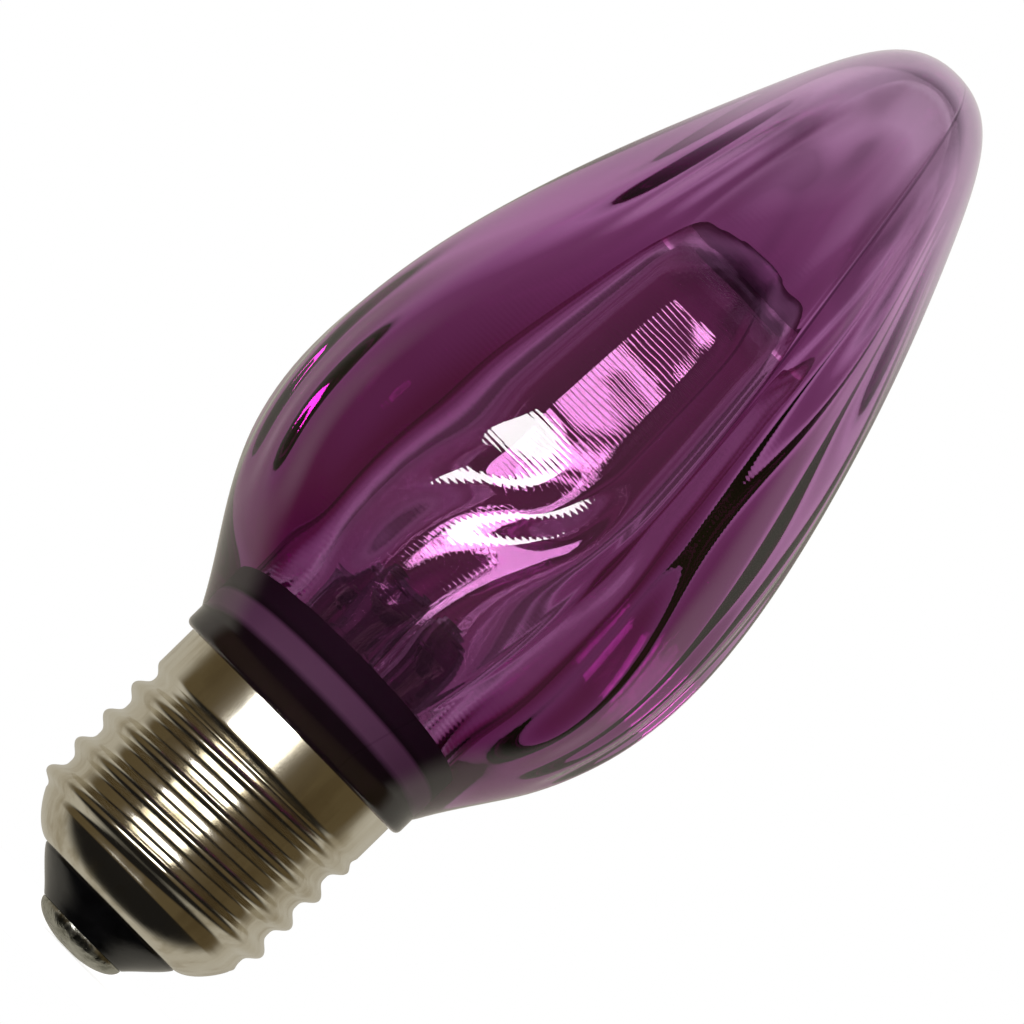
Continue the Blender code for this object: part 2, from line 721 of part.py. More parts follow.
def make_dropper_capacitor(material):
    """Film capacitor on the front of the driver board."""
    size = (DROPPER_WIDTH, DROPPER_DEPTH, DROPPER_TOP - DROPPER_BOTTOM)
    middle = -(DRIVER_FACE + GAP + DROPPER_DEPTH / 2)
    piece = block("dropper_capacitor", size, (0.0, middle, DROPPER_PLACE), material)
    add_pins(piece, pin_row(DROPPER_PIN_PITCH, DROPPER_PLACE), -1, material)
    return piece


def make_smoothing_capacitor(material):
    """Electrolytic can that stands out from the back of the driver board."""
    near = DRIVER_FACE + GAP
    piece = rod("smoothing_capacitor", (0.0, near, SMOOTHING_PLACE),
                (0.0, near + SMOOTHING_LENGTH, SMOOTHING_PLACE), SMOOTHING_RADIUS, 20, material)
    add_pins(piece, pin_row(SMOOTHING_PIN_PITCH, SMOOTHING_PLACE), 1, material)
    return piece


def make_bridge_rectifier(material):
    middle = DRIVER_FACE + GAP + RECTIFIER_SIZE[1] / 2
    piece = block("bridge_rectifier", RECTIFIER_SIZE, (0.0, middle, RECTIFIER_PLACE), material)
    add_pins(piece, rectifier_pins(), 1, material)
    return piece


def make_resistor(name, radius, length, pitch, height, material):
    """Axial resistor across the front of the driver board, with its leads bent into it."""
    middle = -(DRIVER_FACE + GAP + radius)
    half = length / 2
    piece = rod(name, (-half, middle, height), (half, middle, height), radius, 12, material)
    for side in (-1, 1):
        elbow = side * pitch / 2
        corner = elbow - side * LEAD_BEND
        route = [
            (side * (half - 2 * GAP), middle, height),
            (corner, middle, height),
            (elbow, middle + LEAD_BEND, height),
            (elbow, DRIVER_FACE, height),
        ]
        lead = as_mesh(wire("lead", route, PIN_RADIUS, material, steps=2, resolution=1))
        combine(piece, lead, "UNION")
    return piece


def make_wires(red, black, white):
    """The four leads inside the cap, each ending a gap away from what it is soldered to."""
    beside = DRIVER_FACE + GAP + WIRE_RADIUS
    clear = 2 * GAP + WIRE_RADIUS
    lowest = DRIVER_BOTTOM - LEAD_DIP
    soldered = DRIVER_BOTTOM + SOLDER_LENGTH
    live_foot = BLEED_PIN_PITCH / 2 + PIN_RADIUS + clear
    live = wire(
        "live_lead",
        [
            (0.0, 0.0, STEM_TOP + GAP),
            (0.0, 0.0, (STEM_TOP + lowest) / 2),
            (live_foot / 2, -beside, lowest),
            (live_foot, -beside, DRIVER_BOTTOM),
            (live_foot, -beside, soldered),
        ],
        WIRE_RADIUS,
        black,
    )
    neutral_foot = RECTIFIER_SIZE[0] / 2 + clear
    wall = THREAD_ROOT_RADIUS - SHEET - GAP - WIRE_RADIUS
    neutral = wire(
        "neutral_lead",
        [
            (-neutral_foot, beside, soldered),
            (-neutral_foot, beside, DRIVER_BOTTOM),
            (-(neutral_foot + wall) / 2, beside, lowest),
            (-wall, 0.0, DRIVER_BOTTOM),
            (-wall, 0.0, DRIVER_BOTTOM + NEUTRAL_RISE),
        ],
        WIRE_RADIUS,
        white,
    )
    climb = WEB_HOLE_RADIUS / 2
    positive = wire(
        "led_lead_positive",
        [
            (climb, -beside, DRIVER_TOP - LED_LEAD_START),
            (climb, -beside, WEB_BOTTOM),
            (climb, -climb, WEB_TOP),
            (climb, -climb, BOARD_BOTTOM - GAP),
        ],
        WIRE_RADIUS,
        red,
    )
    negative = wire(
        "led_lead_negative",
        [
            (-climb, beside, DRIVER_TOP - LED_LEAD_START),
            (-climb, beside, WEB_BOTTOM),
            (-climb, climb, WEB_TOP),
            (-climb, climb, BOARD_BOTTOM - GAP),
        ],
        WIRE_RADIUS,
        black,
    )
    return [live, neutral, positive, negative]


def main():
    clear_scene()
    purple = finish("clear_purple", (0.42, 0.10, 0.32), 0.03, transmission=1.0)
    nickel = finish("nickel", (0.72, 0.69, 0.60), 0.22, metallic=1.0)
    black = finish("black_moulding", (0.012, 0.012, 0.013), 0.18)
    laminate = finish("board_laminate", (0.75, 0.74, 0.66), 0.5)
    green = finish("green_laminate", (0.05, 0.22, 0.09), 0.45)
    epoxy = finish("led_epoxy", (0.86, 0.84, 0.88), 0.05, transmission=0.9)
    carrier = finish("carrier_moulding", (0.03, 0.025, 0.03), 0.45)
    film = finish("capacitor_case", (0.65, 0.18, 0.06), 0.35)
    can = finish("capacitor_sleeve", (0.03, 0.04, 0.09), 0.3)
    ceramic = finish("resistor_body", (0.62, 0.50, 0.32), 0.5)
    red_wire = finish("red_wire", (0.55, 0.03, 0.03), 0.4)
    black_wire = finish("black_wire", (0.02, 0.02, 0.02), 0.4)
    white_wire = finish("white_wire", (0.75, 0.75, 0.72), 0.4)

    pieces = [
        make_flame_body(purple),
        make_screw_shell(nickel),
        make_base_insulator(black),
        make_centre_contact(nickel),
        make_led_board(laminate),
        make_board_carrier(carrier),
        make_driver_board(green),
        make_dropper_capacitor(film),
        make_smoothing_capacitor(can),
        make_bridge_rectifier(black),
        make_resistor("fuse_resistor", FUSE_RADIUS, FUSE_LENGTH, FUSE_PIN_PITCH, FUSE_PLACE,
                      ceramic),
        make_resistor("bleed_resistor", BLEED_RADIUS, BLEED_LENGTH, BLEED_PIN_PITCH,
                      BLEED_PLACE, ceramic),
    ]
    pieces += make_leds(epoxy)
    pieces += make_wires(red_wire, black_wire, white_wire)

    axis = bpy.data.objects.new("lamp_axis", None)
    bpy.context.scene.collection.objects.link(axis)
    for piece in pieces:
        piece.parent = axis


main()
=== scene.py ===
"""Flame tip LED lamp: its finished look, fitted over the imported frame.

The lamp stands along +Z with its screw cap down, and the side that faces the camera is -Y.
"""

import math

import bpy
from mathutils import Matrix, Vector


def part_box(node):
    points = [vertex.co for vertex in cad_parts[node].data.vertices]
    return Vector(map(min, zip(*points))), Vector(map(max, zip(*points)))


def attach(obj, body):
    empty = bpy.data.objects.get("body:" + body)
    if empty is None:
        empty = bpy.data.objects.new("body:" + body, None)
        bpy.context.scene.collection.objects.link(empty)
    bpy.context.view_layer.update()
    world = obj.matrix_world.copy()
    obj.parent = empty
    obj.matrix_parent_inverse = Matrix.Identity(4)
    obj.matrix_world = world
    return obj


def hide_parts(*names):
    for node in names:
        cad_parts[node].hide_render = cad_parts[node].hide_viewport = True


MM = 0.001

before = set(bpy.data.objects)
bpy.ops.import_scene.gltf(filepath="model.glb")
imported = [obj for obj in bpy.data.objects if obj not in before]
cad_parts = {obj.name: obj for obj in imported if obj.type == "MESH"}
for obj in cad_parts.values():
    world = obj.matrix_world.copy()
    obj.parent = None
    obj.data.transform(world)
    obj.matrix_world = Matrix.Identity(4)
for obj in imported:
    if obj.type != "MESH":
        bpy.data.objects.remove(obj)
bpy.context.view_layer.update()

# Places taken from the frame
body_low, body_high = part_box("flame_body")
shell_low, shell_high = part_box("screw_shell")
contact_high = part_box("centre_contact")[1]
insulator_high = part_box("base_insulator")[1]
board_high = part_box("led_board")[1]
TIP = body_high[2]
RIM = shell_high[2]
SPIGOT_FOOT = body_low[2]
CLEARANCE = 0.3 * MM
SEATED = 0.05 * MM                  # what shows of it where two pieces are pressed together
SHELF = board_high[2] + CLEARANCE

# Outline of the flame body
SPIGOT_RADIUS = 12.15 * MM
BEAD_RADIUS = 13.7 * MM
BEAD_TOP = RIM + 2.1 * MM
BEAD_ROUND = 0.6 * MM
FLARE = (13.95 * MM, RIM + 2.5 * MM)
FLARE_ANGLE = math.radians(28.6)
FLARE_REACH = 8.6 * MM
BELLY = (23.73 * MM, RIM + 27.6 * MM)
BELLY_REACH_BELOW = 13.1 * MM
BELLY_REACH_ABOVE = 10.9 * MM
TAPER = (11.7 * MM, TIP - 13.5 * MM)
TAPER_ANGLE = math.radians(23)
TAPER_REACH_BELOW = 21.0 * MM
TAPER_REACH_ABOVE = 10.0 * MM
TIP_REACH = 5.5 * MM
BODY_COLUMNS = 336

# Uneven flutes, and the slow hollows under them. A wave is its count round the body, the height
# in which it moves on by one radian, and its start.
FLUTE_COUNT = 17
FLUTE_DEPTH = 0.70 * MM
FLUTE_FOOT = RIM + 10.4 * MM
FLUTE_FADE_IN = 7.0 * MM
FLUTE_FADE_OUT = 32.0 * MM
FLUTE_FULL_RADIUS = 12.0 * MM
FLUTE_STRAY = 1.0
STRAY_WAVES = ((3, 9.0 * MM, 0.7), (5, -13.0 * MM, 2.1))
DEPTH_SWING = 0.25
DEPTH_WAVES = ((4, 11.0 * MM, 0.0),)
HOLLOW_DEPTH = 0.50 * MM
HOLLOW_WAVES = ((3, 16.0 * MM, 0.7), (5, -21.0 * MM, 2.1))
PROUD = 0.30 * MM                   # how far the crests stand outside the outline
FRONT = -math.pi / 2
SLANT = math.radians(12)             # how far the flutes lean over at the front of the belly
SLANT_HEIGHT = RIM + 27.0 * MM
SLANT_LENGTH = 4.5 * MM
SLANT_SPREAD = math.radians(20)
CALM_SHARE = 0.9                    # the front above the belly is nearly plain
CALM_HEIGHT = RIM + 29.0 * MM
CALM_LENGTH = 8.0 * MM
CALM_SPREAD = math.radians(50)
CALM_TOP = RIM + 50.0 * MM          # from here on it loses a share of the calm again
CALM_LOSS = 0.55
SIDE_SHARE = 0.65                   # the left side has lost up to this share of its flutes
RIDGE = 1.0 * MM                    # broad ridge along the front, and half its spread
RIDGE_SPREAD = math.radians(16)
RIDGE_ANGLE = FRONT - math.radians(3.3)
SEAM_ANGLE = FRONT + math.radians(24)
SEAM_DEPTH = 0.10 * MM
SEAM_WIDTH = 0.16 * MM

# Bore and bullet shaped cavity
BORE_RADIUS = 9.6 * MM
CAVITY_RADIUS = 8.8 * MM
CAVITY_STRAIGHT_TOP = SHELF + 5.7 * MM
CAVITY_SHOULDER_RADIUS = 6.3 * MM
CAVITY_SHOULDER = CAVITY_STRAIGHT_TOP + 34.0 * MM
CROWN = CAVITY_SHOULDER + 8.4 * MM
CROWN_BLUNTNESS = 0.46              # handle length at the top of the crown, in radii
CROWN_DEPTH = 2.6 * MM              # how far down from its top the crown is rough and painted with shade
SHADE_LINING_TOP = SHELF + 1.6 * MM       # top of the dark lining, painted shade, that the neck and the cavity's foot show

# Screw shell
SHEET = 0.3 * MM
THREAD_PITCH = 25.4 / 7 * MM
THREAD_CREST_RADIUS = 13.05 * MM
THREAD_ROOT_RADIUS = 11.95 * MM
THREAD_START = 8.6 * MM
CREST_SHARPNESS = 1.8               # above 1, the crests are narrower than the valleys
CREST_ROUNDING = 0.35
COLLAR_RADIUS = 12.75 * MM
THREAD_TOP = RIM - 3.9 * MM
SHOULDER_TOP_RADIUS = 11.85 * MM
SHOULDER_TOP = 9.0 * MM
LIP_RADIUS = 8.3 * MM
LIP_HEIGHT = shell_low[2]
RUN_IN = 1.1 * MM
RUN_OUT = 1.6 * MM
SHELL_COLUMNS = 180
SHELL_ROWS = 200
SHOULDER_ROWS = 22

# Insulator and contact
CONTACT_RADIUS = contact_high[0]
CONTACT_TOP = 2.0 * MM
CONTACT_FLAT = 1.2 * MM
CONTACT_STEPS = 18
STEM_RADIUS = 1.2 * MM
INSULATOR_FOOT_RADIUS = 5.2 * MM
RECESS_FLOOR = 6.4 * MM
RECESS_RADIUS = 8.0 * MM

# LEDs and their lead frames
LED_COUNT = 5
POST_RADIUS = 0.28 * MM
CUP_RADIUS = 1.0 * MM
CUP_WALL = 0.14 * MM
CUP_HEIGHT = 1.0 * MM
CUP_BELOW_TOP = 3.0 * MM            # how far the cup's rim lies under the top of its LED

# Lining of the neck, painted shade with one paler band: heights above the rim, and what colour it has from
# there on
NECK_PAINTED_DARK = (0.020, 0.011, 0.015)
NECK_SHADE = (0.034, 0.018, 0.028)
NECK_PALE = (0.24, 0.15, 0.21)
NECK_BANDS = ((4.6 * MM, NECK_PAINTED_DARK), (5.4 * MM, NECK_PALE), (7.4 * MM, NECK_PALE), (7.9 * MM, NECK_PAINTED_DARK),
              (8.6 * MM, NECK_SHADE), (11.6 * MM, NECK_SHADE), (12.0 * MM, NECK_PAINTED_DARK))

# Light around the lamp. Pairs of numbers are where a change starts and ends, as a part of a
# direction of length 1: sideways, backwards or upwards.
PLAIN_LEVEL = (0.45, 0.45, 0.45)    # what lights matt surfaces from all sides
LIT_PAPER = (0.64, 0.70, 0.64)      # what the plastic shows of the paper under the lamp
DIM_PAPER = (0.29, 0.22, 0.26)
SHADOW_EDGE = (0.19, 0.095, 0.15)   # paper that the lamp shades, from the outside in
SHADOW_INNER = (0.14, 0.035, 0.085)
SHADOW_CORE = (0.05, 0.018, 0.028)
SHADOW_ACROSS = 0.95                # half size of the shaded part
SHADOW_ALONG = 0.42
PAPER_BEHIND = (-0.1, 0.3)
PAPER_BESIDE = (0.80, 0.96)
LIT_ABOVE = (0.60, 0.90)
LIT_BEYOND = (-0.25, 0.05)
LIT_BELOW = (-0.80, -0.60)
SOFT_ROOM = (0.13, 0.10, 0.11)      # and of the room in front
DARK_ROOM = (0.012, 0.011, 0.010)   # what metal mirrors above and below,
BROWN_ROOM = (0.105, 0.078, 0.038)  # round the softbox
PALE_PAPER = (0.50, 0.47, 0.40)     # and behind
BROWN_LEVEL = (0.35, 0.70)
PALE_BEHIND = (0.12, 0.45)
SOFTBOX_DISTANCE = 0.60
SOFTBOX_ACROSS = math.radians(24)   # half its width and half its height, as seen from the lamp
SOFTBOX_ALONG = math.radians(7.8)
SOFTBOX_ASIDE = math.radians(-14)
SOFTBOX_RAISED = math.radians(2.6)
SOFTBOX_POWER = 3.3

# Finish of the plastic. Pairs of heights are where a mark starts and where it is full or gone.
ACRYLIC_IOR = 1.49
DYE = (0.70, 7 / 60, 38 / 60)       # colour that the dye lets through, and how strong it is
DYE_DENSITY = 60.0
SKIN_IOR = 2.0                      # hard bright skin of the cavity's wall
OUTER_SKIN = 0.35                   # and the share of it that the outside has
WALL_RADIUS = 9.0 * MM              # below the crown, the cavity's wall lies within this
GROOVE_HEIGHT = 0.0021 * MM         # turning grooves on the cavity's wall
GROOVE_RISE = (CAVITY_SHOULDER - 6.0 * MM, CAVITY_SHOULDER + 5.0 * MM)
RING_HEIGHT = 0.0023 * MM           # rings on the front of the belly, fading out along Y
RING_PLACE = (-20.0 * MM, -14.0 * MM)
RING_PITCH = 0.50 * MM
CLEAR = (1.0, 1.0, 1.0)
STREAK = (0.46, 0.42, 0.44)         # dark streaks towards the tip
STREAK_EDGE = (0.88, 0.85, 0.87)
STREAK_SCALE = 260
STREAK_STRETCH = 0.05
STREAK_RISE = (CROWN - 6.0 * MM, CROWN + 12.0 * MM)
SEAM_TINT = (0.25, 0.22, 0.24)
PAINTED_CROWN_SHADE = (0.09, 0.07, 0.08)      # painted shade on the wall near the cavity's end
DULL_ROUGHNESS = 0.30
ROUGH_AND_SHADE_RISE = (CROWN - 5.72 * MM, CROWN - 0.88 * MM)
TIP_LIGHT_SHARE = 0.62                     # painted light: how far the tip's rim lets the white background through
TIP_LIGHT_RISE = (TIP - 40.0 * MM, TIP - 10.0 * MM)

# Finish of the metal and of moulded parts
ROLLING_PITCH = 0.23 * MM
ROLLING_HEIGHT = 0.0004 * MM
DENT_HEIGHT = 0.014 * MM
FINE_GRAIN = 0.01 * MM
COARSE_GRAIN = 0.03 * MM
SOLDER_GRAIN = 0.25 * MM

# Floor
FLOOR_RADIUS = 120.0 * MM
FLOOR_DROP = 0.1 * MM
FLOOR_GLOW = 0.75

# Camera
FRAME_WIDTH = 93.6 * MM
LENS = 400.0
SENSOR = 36.0
AXIS_IN_PICTURE = math.radians(44.4)
CAMERA_BELOW = math.radians(2.0)
AIM = Vector((0.0, 0.0, 56.92 * MM))


def smooth_step(value):
    value = min(max(value, 0.0), 1.0)
    return value * value * (3.0 - 2.0 * value)


# Modelling helpers

def start_profile(name):
    bpy.ops.object.select_all(action="DESELECT")
    bpy.ops.curve.primitive_bezier_curve_add(location=(0, 0, 0))
    profile = bpy.context.object
    profile.name = name
    profile.data.name = name
    profile.data.splines.clear()
    return profile


def straight(profile, *points):
    """A run of straight lines through (radius, height) points."""
    spline = profile.data.splines.new("POLY")
    spline.points.add(len(points) - 1)
    for target, (radius, height) in zip(spline.points, points):
        target.co = (radius, 0, height, 1)


def bow(profile, start, start_handle, end_handle, end, steps):
    """One smooth curve between two (radius, height) points."""
    spline = profile.data.splines.new("BEZIER")
    spline.bezier_points.add(1)
    spline.resolution_u = steps
    first, last = spline.bezier_points
    for knot in (first, last):
        knot.handle_left_type = "FREE"
        knot.handle_right_type = "FREE"
    first.co = (start[0], 0, start[1])
    first.handle_left = first.co
    first.handle_right = (start_handle[0], 0, start_handle[1])
    last.co = (end[0], 0, end[1])
    last.handle_left = (end_handle[0], 0, end_handle[1])
    last.handle_right = last.co


def turn_profile(profile, columns, smooth_angle=35):
    """Spins the profile about the lamp's axis into a closed skin."""
    bpy.ops.object.select_all(action="DESELECT")
    profile.select_set(True)
    bpy.context.view_layer.objects.active = profile
    bpy.ops.object.convert(target="MESH")
    bpy.ops.object.mode_set(mode="EDIT")
    bpy.ops.mesh.select_all(action="SELECT")
    bpy.ops.mesh.remove_doubles(threshold=0.002 * MM)
    bpy.ops.mesh.spin(steps=columns, angle=2 * math.pi, center=(0, 0, 0), axis=(0, 0, 1))
    bpy.ops.mesh.select_all(action="SELECT")
    bpy.ops.mesh.remove_doubles(threshold=0.002 * MM)
    bpy.ops.mesh.normals_make_consistent(inside=False)
    bpy.ops.object.mode_set(mode="OBJECT")
    bpy.ops.object.shade_smooth_by_angle(angle=math.radians(smooth_angle))
    return bpy.context.object


def wear(piece, material, *nodes, slot=None):
    """Gives a piece its material, its place on the lamp and the nodes that it stands for."""
    piece.data.materials.clear()
    piece.data.materials.append(material)
    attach(piece, "root")
    if nodes:
        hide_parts(*nodes)
    return piece


# Flame body

def slow_wave(waves, angle, rise):
    return sum(math.sin(turns * angle + rise / pitch + start) for turns, pitch, start in waves)


def flute_cut(angle, radius, height):
    """How deep the flutes and the slow hollows cut into the turned outline."""
    grow = smooth_step((height - FLUTE_FOOT) / FLUTE_FADE_IN)
    fade = smooth_step((TIP - height) / FLUTE_FADE_OUT)
    slim = min(radius / FLUTE_FULL_RADIUS, 1.0)
    rise = height - FLUTE_FOOT
    off_front = math.remainder(angle - FRONT, 2 * math.pi)
    lean = SLANT * math.tanh((height - SLANT_HEIGHT) / SLANT_LENGTH)
    lean *= math.exp(-((off_front / SLANT_SPREAD) ** 2))
    calm = CALM_SHARE * smooth_step((height - CALM_HEIGHT) / CALM_LENGTH)
    calm *= 1 - CALM_LOSS * smooth_step((height - CALM_TOP) / CALM_LENGTH)
    calm *= math.exp(-((off_front / CALM_SPREAD) ** 2))
    stray = FLUTE_STRAY * slow_wave(STRAY_WAVES, angle, rise)
    flute = 0.5 - 0.5 * math.cos(FLUTE_COUNT * (angle - lean) + stray)
    uneven = 1 - DEPTH_SWING * (1 - slow_wave(DEPTH_WAVES, angle, rise))
    hollow = 0.5 + slow_wave(HOLLOW_WAVES, angle, rise) / (2 * len(HOLLOW_WAVES))
    plain = SIDE_SHARE * math.sin(min(off_front, 0.0)) ** 2
    depth = (FLUTE_DEPTH * flute * uneven + HOLLOW_DEPTH * hollow - PROUD) * (1 - calm) * (1 - plain)
    off_ridge = math.remainder(angle - RIDGE_ANGLE, 2 * math.pi)
    depth += RIDGE * (0.5 - math.exp(-((off_ridge / RIDGE_SPREAD) ** 2))) * calm
    return depth * grow * fade * slim


def make_flame_body(material, shade_lining, crown):
    profile = start_profile("flame_moulding")
    taper_run = (-math.sin(TAPER_ANGLE), math.cos(TAPER_ANGLE))
    flare_run = (math.sin(FLARE_ANGLE), math.cos(FLARE_ANGLE))
    bow(profile, (0, TIP), (TIP_REACH, TIP),
        (TAPER[0] + TAPER_REACH_ABOVE * taper_run[0], TAPER[1] + TAPER_REACH_ABOVE * taper_run[1]),
        TAPER, 26)
    bow(profile, TAPER,
        (TAPER[0] - TAPER_REACH_BELOW * taper_run[0], TAPER[1] - TAPER_REACH_BELOW * taper_run[1]),
        (BELLY[0], BELLY[1] + BELLY_REACH_ABOVE), BELLY, 42)
    bow(profile, BELLY, (BELLY[0], BELLY[1] - BELLY_REACH_BELOW),
        (FLARE[0] + FLARE_REACH * flare_run[0], FLARE[1] + FLARE_REACH * flare_run[1]), FLARE, 26)
    bead_foot = RIM + SEATED
    straight(profile, FLARE, (BEAD_RADIUS, BEAD_TOP), (BEAD_RADIUS, bead_foot + BEAD_ROUND))
    bow(profile, (BEAD_RADIUS, bead_foot + BEAD_ROUND), (BEAD_RADIUS, bead_foot + BEAD_ROUND * 0.45),
        (BEAD_RADIUS - BEAD_ROUND * 0.45, bead_foot), (BEAD_RADIUS - BEAD_ROUND, bead_foot), 4)
    straight(profile, (BEAD_RADIUS - BEAD_ROUND, bead_foot), (SPIGOT_RADIUS, bead_foot),
             (SPIGOT_RADIUS, SPIGOT_FOOT), (BORE_RADIUS, SPIGOT_FOOT), (BORE_RADIUS, SHELF),
             (CAVITY_RADIUS, SHELF), (CAVITY_RADIUS, CAVITY_STRAIGHT_TOP))
    narrowing = CAVITY_RADIUS - CAVITY_SHOULDER_RADIUS
    arc_length = CAVITY_SHOULDER - CAVITY_STRAIGHT_TOP
    bow(profile, (CAVITY_RADIUS, CAVITY_STRAIGHT_TOP), (CAVITY_RADIUS, CAVITY_STRAIGHT_TOP + arc_length / 3),
        (CAVITY_SHOULDER_RADIUS + narrowing * 2 / 3, CAVITY_SHOULDER - arc_length / 3),
        (CAVITY_SHOULDER_RADIUS, CAVITY_SHOULDER), 24)
    rise = (CROWN - CAVITY_SHOULDER) / 2
    bow(profile, (CAVITY_SHOULDER_RADIUS, CAVITY_SHOULDER),
        (CAVITY_SHOULDER_RADIUS - narrowing * rise / arc_length, CAVITY_SHOULDER + rise),
        (CAVITY_SHOULDER_RADIUS * CROWN_BLUNTNESS, CROWN), (0, CROWN), 14)
    body = turn_profile(profile, BODY_COLUMNS)
    outside = BORE_RADIUS + CLEARANCE
    for vertex in body.data.vertices:
        radius = math.hypot(vertex.co.x, vertex.co.y)
        height = vertex.co.z
        if height < FLUTE_FOOT or (radius < outside and height < CROWN + CLEARANCE) or radius == 0:
            continue
        angle = math.atan2(vertex.co.y, vertex.co.x)
        cut = flute_cut(angle, radius, height)
        if abs(math.remainder(angle - SEAM_ANGLE, 2 * math.pi)) < math.pi / BODY_COLUMNS:
            cut += SEAM_DEPTH
        share = 1 - cut / radius
        vertex.co.x *= share
        vertex.co.y *= share
    wear(body, material, "flame_body", slot="clear_purple")
    body.data.materials.append(shade_lining)
    body.data.materials.append(crown)
    for face in body.data.polygons:
        radius = math.hypot(face.center.x, face.center.y)
        # the bore's faces below this height get the painted shade lining
        if radius < outside and face.center.z < SHADE_LINING_TOP:
            face.material_index = 1
        elif radius < outside and CROWN - CROWN_DEPTH < face.center.z < CROWN + CLEARANCE:
            face.material_index = 2
    return body


# Screw shell

def thread_radius(angle, height):
    turns = (height - THREAD_START) / THREAD_PITCH - angle / (2 * math.pi)
    crest = 0.5 + 0.5 * math.cos(2 * math.pi * turns)
    rise = crest ** CREST_SHARPNESS
    rise *= 1 + CREST_ROUNDING * (1 - rise)
    threaded = THREAD_ROOT_RADIUS + (THREAD_CREST_RADIUS - THREAD_ROOT_RADIUS) * rise
    grow = smooth_step((height - SHOULDER_TOP) / RUN_IN)
    fade = smooth_step((THREAD_TOP - height) / RUN_OUT)
    plain = SHOULDER_TOP_RADIUS if height < (SHOULDER_TOP + THREAD_TOP) / 2 else COLLAR_RADIUS
    return plain + (threaded - plain) * grow * fade


def shoulder_point(share):
    """A point of the turned-in shoulder, from the lip to the foot of the thread."""
    corners = (
        (LIP_RADIUS, LIP_HEIGHT),
        (LIP_RADIUS + 1.5 * MM, LIP_HEIGHT + 0.2 * MM),
        (SHOULDER_TOP_RADIUS - 0.5 * MM, SHOULDER_TOP - 1.1 * MM),
        (SHOULDER_TOP_RADIUS, SHOULDER_TOP),
    )
    rest = 1 - share
    weights = (rest ** 3, 3 * rest * rest * share, 3 * rest * share * share, share ** 3)
    radius = sum(w * c[0] for w, c in zip(weights, corners))
    height = sum(w * c[1] for w, c in zip(weights, corners))
    return radius, height


def make_screw_shell(material):
    bpy.ops.object.select_all(action="DESELECT")
    bpy.ops.mesh.primitive_grid_add(
        x_subdivisions=SHELL_COLUMNS, y_subdivisions=SHELL_ROWS, size=1, location=(0, 0, 0)
    )
    shell = bpy.context.object
    shell.name = "rolled_shell"
    shoulder_share = SHOULDER_ROWS / SHELL_ROWS
    for vertex in shell.data.vertices:
        angle = 2 * math.pi * (vertex.co.x + 0.5)
        share = vertex.co.y + 0.5
        if share < shoulder_share:
            radius, height = shoulder_point(share / shoulder_share)
        else:
            height = SHOULDER_TOP + (RIM - SHOULDER_TOP) * (share - shoulder_share) / (1 - shoulder_share)
            radius = thread_radius(angle, height)
        vertex.co = (radius * math.cos(angle), radius * math.sin(angle), height)
    bpy.ops.object.mode_set(mode="EDIT")
    bpy.ops.mesh.select_all(action="SELECT")
    bpy.ops.mesh.remove_doubles(threshold=0.002 * MM)
    bpy.ops.mesh.normals_make_consistent(inside=False)
    bpy.ops.object.mode_set(mode="OBJECT")
    sheet = shell.modifiers.new("Sheet", "SOLIDIFY")
    sheet.thickness = SHEET
    sheet.offset = -1
    sheet.use_even_offset = True
    bpy.ops.object.modifier_apply(modifier="Sheet")
    bpy.ops.object.shade_smooth_by_angle(angle=math.radians(50))
    return wear(shell, material, "screw_shell", slot="nickel")


# Insulator and centre contact

def make_insulator(material):
    profile = start_profile("insulator_cone")
    hole = STEM_RADIUS + CLEARANCE
    foot = CONTACT_TOP + SEATED
    waist = LIP_RADIUS - SEATED
    top = insulator_high[2]
    flange = insulator_high[0]
    straight(profile, (waist, LIP_HEIGHT + 0.6 * MM), (waist, LIP_HEIGHT - 0.15 * MM))
    bow(profile, (waist, LIP_HEIGHT - 0.15 * MM), (waist - 0.6 * MM, LIP_HEIGHT - 1.1 * MM),
        (INSULATOR_FOOT_RADIUS + 0.9 * MM, foot + 1.2 * MM), (INSULATOR_FOOT_RADIUS, foot + 0.2 * MM), 12)
    straight(profile, (INSULATOR_FOOT_RADIUS, foot + 0.2 * MM), (INSULATOR_FOOT_RADIUS - 0.2 * MM, foot),
             (hole, foot), (hole, RECESS_FLOOR), (RECESS_RADIUS, RECESS_FLOOR), (RECESS_RADIUS, top),
             (flange, top), (flange, top - 1.6 * MM))
    straight(profile, (flange, top - 1.6 * MM), (flange - 0.9 * MM, top - 2.6 * MM),
             (waist + 0.8 * MM, LIP_HEIGHT + 0.85 * MM), (waist, LIP_HEIGHT + 0.6 * MM))
    cone = turn_profile(profile, 96)
    return wear(cone, material, "base_insulator", slot="black_moulding")


def make_contact(material):
    profile = start_profile("contact_button")
    stem_top = contact_high[2]
    first = math.asin(CONTACT_FLAT / CONTACT_RADIUS)
    drop = math.cos(first)
    dome = [(0, 0)]
    for step in range(CONTACT_STEPS + 1):
        angle = first + (math.pi / 2 - first) * step / CONTACT_STEPS
        dome.append((CONTACT_RADIUS * math.sin(angle), CONTACT_TOP * (drop - math.cos(angle)) / drop))
    straight(profile, *dome, (STEM_RADIUS, CONTACT_TOP), (STEM_RADIUS, stem_top), (0, stem_top))
    button = turn_profile(profile, 96)
    return wear(button, material, "centre_contact", slot="nickel")


# Lead frames inside the LEDs

